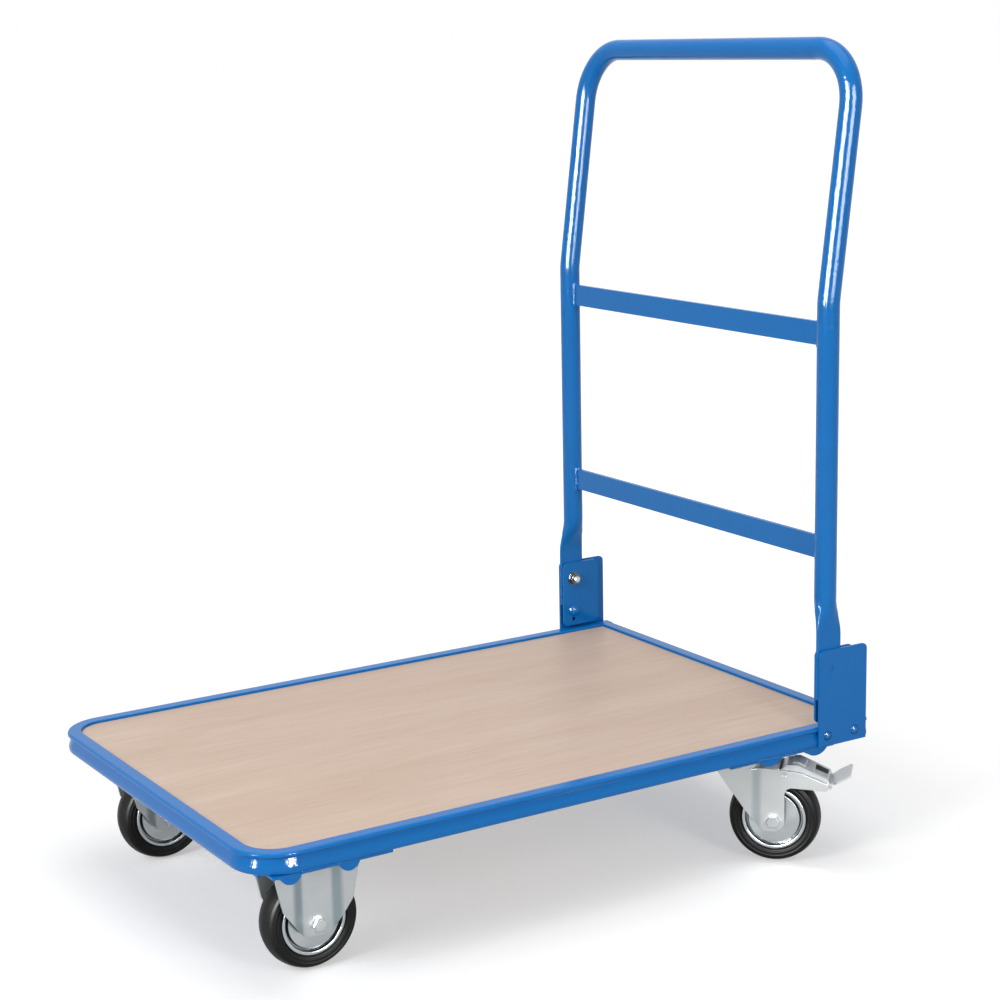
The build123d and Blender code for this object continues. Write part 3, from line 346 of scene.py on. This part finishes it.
# Front forks: painted dark reflection on the slopes of their pressed steps.
front_sheet = zinc_finish("zinc_front_forks", FORK_EDGE, FORK_GLOSS, FORK_METAL,
                          tone=step_shade_tone((1.0, 0.0, 0.0), 0.75))
zinc_plain = zinc_finish("zinc_flat_sheet", PLATE_EDGE, (0.24, 0.32))
zinc_fastener = zinc_finish("zinc_fastener", SMALL_EDGE, (0.20, 0.28))
for side, away in SIDES.items():
    dress(front_sheet, "front_fork_" + side)
    trailing, across = (DIAGONAL, away * DIAGONAL, 0.0), (DIAGONAL, -away * DIAGONAL, 0.0)
    rim_low, rim_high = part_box("rear_rim_" + side)
    # The rear forks and pedals take the lighter copy of the zinc as painted light, over the painted shade of
    # their steps and channel.
    rear_sheet = zinc_finish("zinc_rear_fork_" + side, FORK_EDGE, FORK_GLOSS, FORK_METAL,
                             ZINC, ZINC_LIT, step_shade_tone(trailing, 0.5))
    dress(rear_sheet, "rear_fork_" + side)
    pedal_sheet = zinc_finish("zinc_pedal_" + side, SMALL_EDGE, PEDAL_GLOSS, PEDAL_METAL,
                              ZINC, ZINC_LIT, channel_shade_tone((rim_low + rim_high) / 2, across))
    dress(pedal_sheet, "brake_pedal_" + side)
    dress(zinc_plain, "rear_top_plate_" + side, "dust_cover_" + side, "race_ring_" + side)
    dress(zinc_fastener, "rear_axle_bolt_" + side, "rear_axle_nut_" + side, "rear_axle_sleeve_" + side,
          "pedal_pin_" + side)
dress(zinc_fastener, "front_axle_bolts", "front_axle_nuts", "front_axle_sleeves", "king_pins",
      "caster_bolts", "caster_nuts", "board_screws")

# WHEELS
# Two pressed dishes welded back to back make each rim, zinc plated after turning, with a solid black
# rubber tyre stretched over it. The tyre is moulded with a rounded tread and two fine rings on each side.
WHEEL_RADIUS = 0.050
TYRE_HALF_WIDTH = 0.015
BEAD_RADIUS = 0.0352
RING_RADII = (0.0392, 0.0428)
RING_HEIGHT = 0.0003
RING_CREST, RING_FOOT = 0.0003, 0.0007
TYRE_SLICES = 96
OUTLINE_STEPS = 160
SEAM_CLOSE = 0.00001
RIM_GROOVE = (0.0276, 0.0312)
RIM_EDGE = 0.0006
TURNED_SCALE = 2600.0
REAR_TURN = math.radians(45.0)
RIM_DULL = (0.330, 0.350, 0.358, 1.0)
RIM_SHADOW = (0.160, 0.172, 0.178, 1.0)
RUBBER = (0.0045, 0.0048, 0.0050, 1.0)
RUBBER_BLOOM = (0.0095, 0.0098, 0.0102, 1.0)
wheels = {}
for end in ("front", "rear"):
    for side, away in SIDES.items():
        low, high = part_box(f"{end}_rim_{side}")
        turn = 0.0 if end == "front" else away * REAR_TURN
        wheels[f"{end}_%s_{side}"] = ((low + high) / 2, turn)


def rim_finish(name, centre, turn):
    material, tree, shader, place = new_finish(name)
    wheel_place = put(tree, "ShaderNodeMapping", {
        "Vector": place, "Location": centre, "Rotation": (0.0, 0.0, turn),
    }, vector_type="TEXTURE").outputs[0]
    split = put(tree, "ShaderNodeSeparateXYZ", {"Vector": wheel_place})
    wheel_x, wheel_z = split.outputs[0], split.outputs[2]
    across = put(tree, "ShaderNodeCombineXYZ", {"X": wheel_x, "Y": wheel_z}).outputs[0]
    radius = put(tree, "ShaderNodeVectorMath", {"Vector": across}, operation="LENGTH").outputs["Value"]
    turned = put(tree, "ShaderNodeTexNoise", {
        "W": radius, "Scale": TURNED_SCALE, "Detail": 2.0,
    }, noise_dimensions="1D").outputs[0]
    film = noise(tree, place, scale=24.0, detail=3.0, roughness=0.5)
    body = mix_colour(tree, span(tree, film, 0.32, 0.68), RIM_DULL, ZINC_DULL)
    middle, half = sum(RIM_GROOVE) / 2, (RIM_GROOVE[1] - RIM_GROOVE[0]) / 2
    from_groove = sums(tree, "ABSOLUTE", sums(tree, "SUBTRACT", radius, middle))
    colour = mix_colour(tree, span(tree, from_groove, half, half * 0.5, 0.0, 0.8), body, RIM_SHADOW)
    rolled = rounded_edges(tree, RIM_EDGE)[0]
    skin = rough_skin(tree, turned, strength=0.12, depth=0.0001, normal=rolled)
    spoke_back = sums(tree, "MULTIPLY", wheel_z, -1.0)
    round_way = put(tree, "ShaderNodeCombineXYZ", {"X": spoke_back, "Z": wheel_x}).outputs[0]
    round_way = put(tree, "ShaderNodeVectorRotate", {
        "Vector": round_way, "Angle": turn,
    }, rotation_type="Z_AXIS").outputs[0]
    tool_marks = put(tree, "ShaderNodeVectorTransform", {"Vector": round_way}, vector_type="VECTOR",
                     convert_from="OBJECT", convert_to="WORLD").outputs[0]
    feed(tree, shader, Base_Color=colour, Metallic=1.0, Normal=skin, Anisotropic=0.6, Tangent=tool_marks,
         Roughness=span(tree, turned, 0.3, 0.7, 0.15, 0.23))
    return material


tyre_rubber, tree, shader, place = new_finish("tyre_rubber")
bloom = noise(tree, place, scale=30.0, detail=4.0, roughness=0.6)
scuffs = noise(tree, place, scale=900.0)
feed(tree, shader, Base_Color=mix_colour(tree, span(tree, bloom, 0.3, 0.75), RUBBER, RUBBER_BLOOM),
     Roughness=span(tree, bloom, 0.3, 0.7, 0.38, 0.52),
     Normal=rough_skin(tree, scuffs, strength=0.12, depth=0.0002), Specular_IOR_Level=0.08)

tyre_group, group_in, group_out = new_node_group(
    "turned_tyre", Slices=("Int", TYRE_SLICES), Outline_Steps=("Int", OUTLINE_STEPS),
    Centre=("Vector", None), Turn=("Float", None), Finish=("Material", None))
outline = put(tyre_group, "GeometryNodeMeshToCurve", {"Mesh": group_in.outputs["Geometry"]}).outputs[0]
grid = put(tyre_group, "GeometryNodeMeshGrid", {
    "Size X": 1.0, "Size Y": 1.0,
    "Vertices X": sums(tyre_group, "ADD", group_in.outputs["Slices"], 1.0),
    "Vertices Y": sums(tyre_group, "ADD", group_in.outputs["Outline Steps"], 1.0),
}).outputs[0]
grid_place = put(tyre_group, "GeometryNodeInputPosition").outputs[0]
share = put(tyre_group, "ShaderNodeSeparateXYZ", {"Vector": grid_place})
angle = sums(tyre_group, "MULTIPLY", sums(tyre_group, "ADD", share.outputs[0], 0.5), math.tau)
section = put(tyre_group, "GeometryNodeSampleCurve", {
    "Curves": outline, "Factor": sums(tyre_group, "ADD", share.outputs[1], 0.5),
}, mode="FACTOR", use_all_curves=False)
spoke = put(tyre_group, "ShaderNodeSeparateXYZ", {"Vector": section.outputs["Position"]})
round_place = put(tyre_group, "ShaderNodeCombineXYZ", {
    "X": sums(tyre_group, "MULTIPLY", spoke.outputs[0], sums(tyre_group, "COSINE", angle)),
    "Y": spoke.outputs[1],
    "Z": sums(tyre_group, "MULTIPLY", spoke.outputs[0], sums(tyre_group, "SINE", angle)),
}).outputs[0]
bent = put(tyre_group, "GeometryNodeSetPosition", {"Geometry": grid, "Position": round_place}).outputs[0]
joined = put(tyre_group, "GeometryNodeMergeByDistance", {"Geometry": bent, "Distance": SEAM_CLOSE}).outputs[0]
wheel_turn = put(tyre_group, "ShaderNodeCombineXYZ", {"Z": group_in.outputs["Turn"]}).outputs[0]
placed = put(tyre_group, "GeometryNodeTransform", {
    "Geometry": joined, "Translation": group_in.outputs["Centre"], "Rotation": wheel_turn,
}).outputs[0]
close_node_group(tyre_group, group_in, group_out, placed)

# Radius and half width of one tyre side, from the bead over the two rings to the shoulder.
side_outline = [(BEAD_RADIUS, 0.0122), (0.0362, 0.0144), (0.0378, TYRE_HALF_WIDTH)]
for ring in RING_RADII:
    side_outline += [(ring - RING_FOOT, TYRE_HALF_WIDTH - 0.0001),
                     (ring - RING_CREST, TYRE_HALF_WIDTH + RING_HEIGHT),
                     (ring + RING_CREST, TYRE_HALF_WIDTH + RING_HEIGHT),
                     (ring + RING_FOOT, TYRE_HALF_WIDTH - 0.0002)]
side_outline += [(0.0446, 0.0146), (0.0462, 0.0138), (0.0477, 0.0115), (0.0490, 0.0070), (0.0497, 0.0032)]
tread_crown = [(WHEEL_RADIUS, 0.0)]
other_side = [(r, -v) for r, v in reversed(side_outline)]
whole_outline = [(r, v, 0.0) for r, v in side_outline + tread_crown + other_side]
tyres = []
for name, (centre, turn) in wheels.items():
    tyre = grow(name % "tyre_moulded", tyre_group, seam_mesh("tyre_outline", [(whole_outline, True)]),
                {"Centre": centre, "Turn": turn, "Finish": tyre_rubber}, name % "wheel")
    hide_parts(name % "tyre")
    tyres.append(tyre)
    rim_zinc = rim_finish(name % "rim_zinc", centre, turn)
    dress(rim_zinc, name % "rim", name % "hub")
for side in SIDES:
    dress(tyre_rubber, "brake_shoe_" + side)

# BOLT THREADS
# Rolled M8 threads where bolts and pivot studs stand out past their nuts, zinc plated like the nuts.
# Each is a ridge wound twice round the end of its bolt.
THREAD_RADIUS = 0.00395
THREAD_PITCH = 0.00125
THREAD_CREST = 0.00036
THREAD_TURNS = 2.0
AXLE_NUT_FACE = 0.0281
PIVOT_NUT_FACE = 0.2359

thread_group, group_in, group_out = new_node_group(
    "rolled_thread", Radius=("Float", THREAD_RADIUS), Pitch=("Float", THREAD_PITCH),
    Crest=("Float", THREAD_CREST), Turns=("Float", THREAD_TURNS), Finish=("Material", None))
helix = put(thread_group, "GeometryNodeCurveSpiral", {
    "Resolution": 24, "Rotations": group_in.outputs["Turns"],
    "Start Radius": group_in.outputs["Radius"], "End Radius": group_in.outputs["Radius"],
    "Height": sums(thread_group, "MULTIPLY", group_in.outputs["Turns"], group_in.outputs["Pitch"]),
}).outputs[0]
crest = put(thread_group, "GeometryNodeCurvePrimitiveCircle", {
    "Resolution": 4, "Radius": group_in.outputs["Crest"],
}).outputs[0]
wound = put(thread_group, "GeometryNodeCurveToMesh", {
    "Curve": helix, "Profile Curve": crest, "Fill Caps": True,
}).outputs[0]
axis = put(thread_group, "GeometryNodeInputNamedAttribute", {
    "Name": "axis",
}, data_type="FLOAT_VECTOR").outputs[0]
along = put(thread_group, "FunctionNodeAlignRotationToVector", {"Vector": axis}, axis="Z").outputs[0]
threads = put(thread_group, "GeometryNodeInstanceOnPoints", {
    "Points": group_in.outputs["Geometry"], "Instance": wound, "Rotation": along,
}).outputs[0]
close_node_group(thread_group, group_in, group_out, threads)


def bolt_ends(name, ends):
    mesh = bpy.data.meshes.new(name)
    mesh.from_pydata([start for start, direction in ends], [], [])
    mesh.attributes.new("axis", "FLOAT_VECTOR", "POINT").data.foreach_set(
        "vector", [value for start, direction in ends for value in direction])
    return mesh


nut_low, nut_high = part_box("pivot_nuts")
pivot_x, pivot_z = (nut_low.x + nut_high.x) / 2, (nut_low.z + nut_high.z) / 2
fixed_ends = []
for side, away in SIDES.items():
    inward = -away
    front, rear = wheels["front_%s_" + side][0], wheels["rear_%s_" + side][0]
    fixed_ends.append((front + Vector((0, inward * AXLE_NUT_FACE, 0)), (0, inward, 0)))
    fixed_ends.append(((pivot_x, away * PIVOT_NUT_FACE, pivot_z), (0, inward, 0)))
    axle = Vector((math.cos(REAR_TURN), inward * math.sin(REAR_TURN), 0.0))
    rear_end = bolt_ends("rear_end", [(rear + axle * AXLE_NUT_FACE, axle)])
    grow("rear_bolt_thread_" + side, thread_group, rear_end, {"Finish": zinc_fastener},
         "rear_swivel_" + side)
grow("bolt_threads", thread_group, bolt_ends("fixed_ends", fixed_ends),
     {"Finish": zinc_fastener}, "platform")

# HINGES
# Each handle leg turns on a shouldered stud through the two plates, held by a nut inside that is coloured
# much darker than the other zinc. The stud is zinc plated and its outer end coated over with the plate, as
# the whole lock pin below it is.
COATED_FROM, COATED_FULL = 0.2515, 0.2517

hinge_steel, tree, shader, place = new_finish("hinge_stud")
split = put(tree, "ShaderNodeSeparateXYZ", {"Vector": place})
coated = span(tree, sums(tree, "ABSOLUTE", split.outputs[1]), COATED_FROM, COATED_FULL)
film = noise(tree, place, scale=24.0, detail=3.0, roughness=0.5)
peel = noise(tree, place, PEEL_SCALE, detail=1.0, roughness=0.4)
bare = mix_colour(tree, span(tree, film, 0.3, 0.7), ZINC_DULL, ZINC)
feed(tree, shader, Base_Color=mix_colour(tree, coated, bare, BLUE),
     Metallic=span(tree, coated, 0.0, 1.0, 1.0, 0.0), Roughness=span(tree, film, 0.3, 0.7, 0.17, 0.27),
     Normal=rough_skin(tree, peel, strength=0.2, depth=0.0004), Specular_IOR_Level=COAT_SPECULAR)
dress(hinge_steel, "pivot_studs")
dress(frame_paint, "lock_pins")
dress(zinc_fastener, "pivot_bushes")
nut_steel = zinc_finish("nut_dark_zinc", SMALL_EDGE, (0.22, 0.30), dull=ZINC_NEAR_BLACK, bright=RIM_SHADOW)
dress(nut_steel, "pivot_nuts")

# HANDLE
# One length of 24 mm tube bent round the top, its ends pressed flat for the hinges, with two flat bars
# welded between the legs. Powder coated like the frame after welding.
HANDLE_BEAD = 0.0030

handle_paint = paint_finish("handle_powder_coat")
dress(handle_paint, "handle_tube", "lower_crossbar", "upper_crossbar")
handle_seams = []
for name in ("lower_crossbar", "upper_crossbar"):
    low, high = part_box(name)
    corners = [(low.x, low.z), (low.x, high.z), (high.x, high.z), (high.x, low.z)]
    for s in (-1, 1):
        handle_seams.append(([(x, s * (high.y - SEAM_SUNK), z) for x, z in corners], True))
handle_welds = grow("handle_welds", weld_group, seam_mesh("handle_seams", handle_seams),
                    {"Bead": HANDLE_BEAD, "Finish": handle_paint}, "handle")

# STUDIO
# White floor running out into a white room, a tall soft box either side of the camera and one overhead.
# The glint lamps only draw highlights: on the round and plated pieces, on the dome heads and on the rails.
FLOOR_HALF = 30.0
FLOOR_WHITE = (0.62, 0.62, 0.62, 1.0)
WHITE = (1.0, 1.0, 1.0, 1.0)
FADE_FROM, FADE_TO = 0.3, 2.2
NEAR_FILL, FAR_FILL = 0.42, 0.80
ROOM_LIGHT = 0.40

floor_mesh = bpy.data.meshes.new("floor")
corners = [(-1, -1), (1, -1), (1, 1), (-1, 1)]
floor_mesh.from_pydata([(x * FLOOR_HALF, y * FLOOR_HALF, 0.0) for x, y in corners], [], [(0, 1, 2, 3)])
floor = bpy.data.objects.new("floor", floor_mesh)
scene.collection.objects.link(floor)


def seen_by_eye(tree):
    """1 where a ray comes from the camera, a mirror or glass, and 0 where it only lights."""
    path = put(tree, "ShaderNodeLightPath").outputs
    mirrored = sums(tree, "MAXIMUM", path["Is Glossy Ray"], path["Is Transmission Ray"])
    return sums(tree, "MAXIMUM", path["Is Camera Ray"], mirrored)


floor_finish, tree, shader, place = new_finish("floor_white")
from_middle = put(tree, "ShaderNodeVectorMath", {"Vector": place}, operation="LENGTH").outputs["Value"]
fade = put(tree, "ShaderNodeMapRange", {
    "Value": from_middle, "From Min": FADE_FROM, "From Max": FADE_TO, "To Min": NEAR_FILL, "To Max": FAR_FILL,
}, interpolation_type="SMOOTHSTEP").outputs[0]
feed(tree, shader, Base_Color=FLOOR_WHITE, Roughness=0.8, Specular_IOR_Level=0.05, Emission_Color=WHITE,
     Emission_Strength=sums(tree, "MULTIPLY", fade, seen_by_eye(tree)))
floor_mesh.materials.append(floor_finish)

world = bpy.data.worlds.new("studio")
scene.world = world
world.use_nodes = True
tree = world.node_tree
room = tree.nodes["Background"]
room.inputs["Color"].default_value = WHITE
tree.links.new(span(tree, seen_by_eye(tree), 0.0, 1.0, ROOM_LIGHT, 1.0), room.inputs["Strength"])


def lit_group(name, pieces):
    group = bpy.data.collections.new(name)
    for piece in pieces:
        group.objects.link(piece)
    return group


dome_heads = [nodes[name] for name in ("plate_rivets", "lock_pins", "pivot_studs")]
round_pieces = [nodes[name] for name in ("handle_tube", "pivot_nuts", "front_axle_bolts")]
for side in SIDES:
    for name in ("front_rim_", "rear_rim_", "front_fork_", "rear_fork_", "rear_axle_bolt_"):
        round_pieces.append(nodes[name + side])
shiny = lit_group("shiny_pieces", dome_heads + round_pieces + tyres + [handle_welds])
rails = lit_group("rail_beads", [nodes["deck_frame"], frame_welds])
domes = lit_group("dome_heads", dome_heads)


def soft_box(name, place, target, size, power, glint_on=None):
    data = bpy.data.lights.new(name, "AREA")
    data.shape = "RECTANGLE"
    data.size, data.size_y = size
    data.energy = power
    lamp = bpy.data.objects.new(name, data)
    scene.collection.objects.link(lamp)
    lamp.location = place
    if glint_on:
        lamp.visible_diffuse = False
        lamp.light_linking.receiver_collection = glint_on
    lamp.rotation_euler = (Vector(target) - Vector(place)).to_track_quat("-Z", "Y").to_euler()


soft_box("soft_box_left", (-2.30, -0.69, 1.55), (0.0, 0.0, 0.6), (0.8, 1.2), 36.0)
soft_box("soft_box_right", (0.02, -2.50, 1.25), (0.1, 0.0, 0.5), (0.6, 1.3), 20.0)
soft_box("glint_left", (-2.40, -0.35, 1.45), (0.0, 0.0, 0.6), (0.8, 2.0), 420.0, shiny)
soft_box("glint_middle", (-2.10, -1.25, 1.45), (0.0, 0.0, 0.6), (0.8, 2.0), 420.0, shiny)
soft_box("glint_right", (0.02, -2.48, 1.35), (0.1, 0.0, 0.5), (1.4, 1.8), 260.0, shiny)
soft_box("glint_low", (0.72, -2.45, 0.75), (0.3, -0.2, 0.3), (0.5, 0.5), 150.0, domes)
soft_box("glint_rail_left", (-2.20, -0.67, 0.62), (-0.3, -0.2, 0.15), (0.30, 0.35), 42.0, rails)
soft_box("glint_rail_right", (-0.04, -2.30, 0.62), (-0.3, -0.2, 0.15), (0.55, 0.35), 72.0, rails)
soft_box("soft_box_top", (0.0, 0.1, 3.0), (0.0, 0.0, 0.2), (2.2, 2.2), 34.0)

# CAMERA
# Stands where the photograph was taken from, about as high as the top of the handle, to the front of the
# platform and on its near side.
PHOTO_FOCUS, PHOTO_WIDTH, SENSOR = 2172.58, 1000.0, 36.0
CAMERA_PLACE = (-1.16806, -1.97377, 0.88964)
YAW, PITCH, ROLL = math.radians(-31.898), math.radians(12.093), math.radians(-1.178)

ahead = Vector((-math.sin(YAW) * math.cos(PITCH), math.cos(YAW) * math.cos(PITCH), -math.sin(PITCH)))
right = Vector((math.cos(YAW), math.sin(YAW), 0.0))
up = right.cross(ahead)
right_rolled = math.cos(ROLL) * right + math.sin(ROLL) * up
up_rolled = math.cos(ROLL) * up - math.sin(ROLL) * right
camera_data = bpy.data.cameras.new("camera")
camera_data.sensor_width = SENSOR
camera_data.lens = PHOTO_FOCUS / PHOTO_WIDTH * SENSOR
camera = bpy.data.objects.new("camera", camera_data)
scene.collection.objects.link(camera)
camera_turn = Matrix((right_rolled, up_rolled, -ahead)).transposed().to_4x4()
camera.matrix_world = Matrix.Translation(CAMERA_PLACE) @ camera_turn
scene.camera = camera
scene.view_settings.view_transform = "Standard"
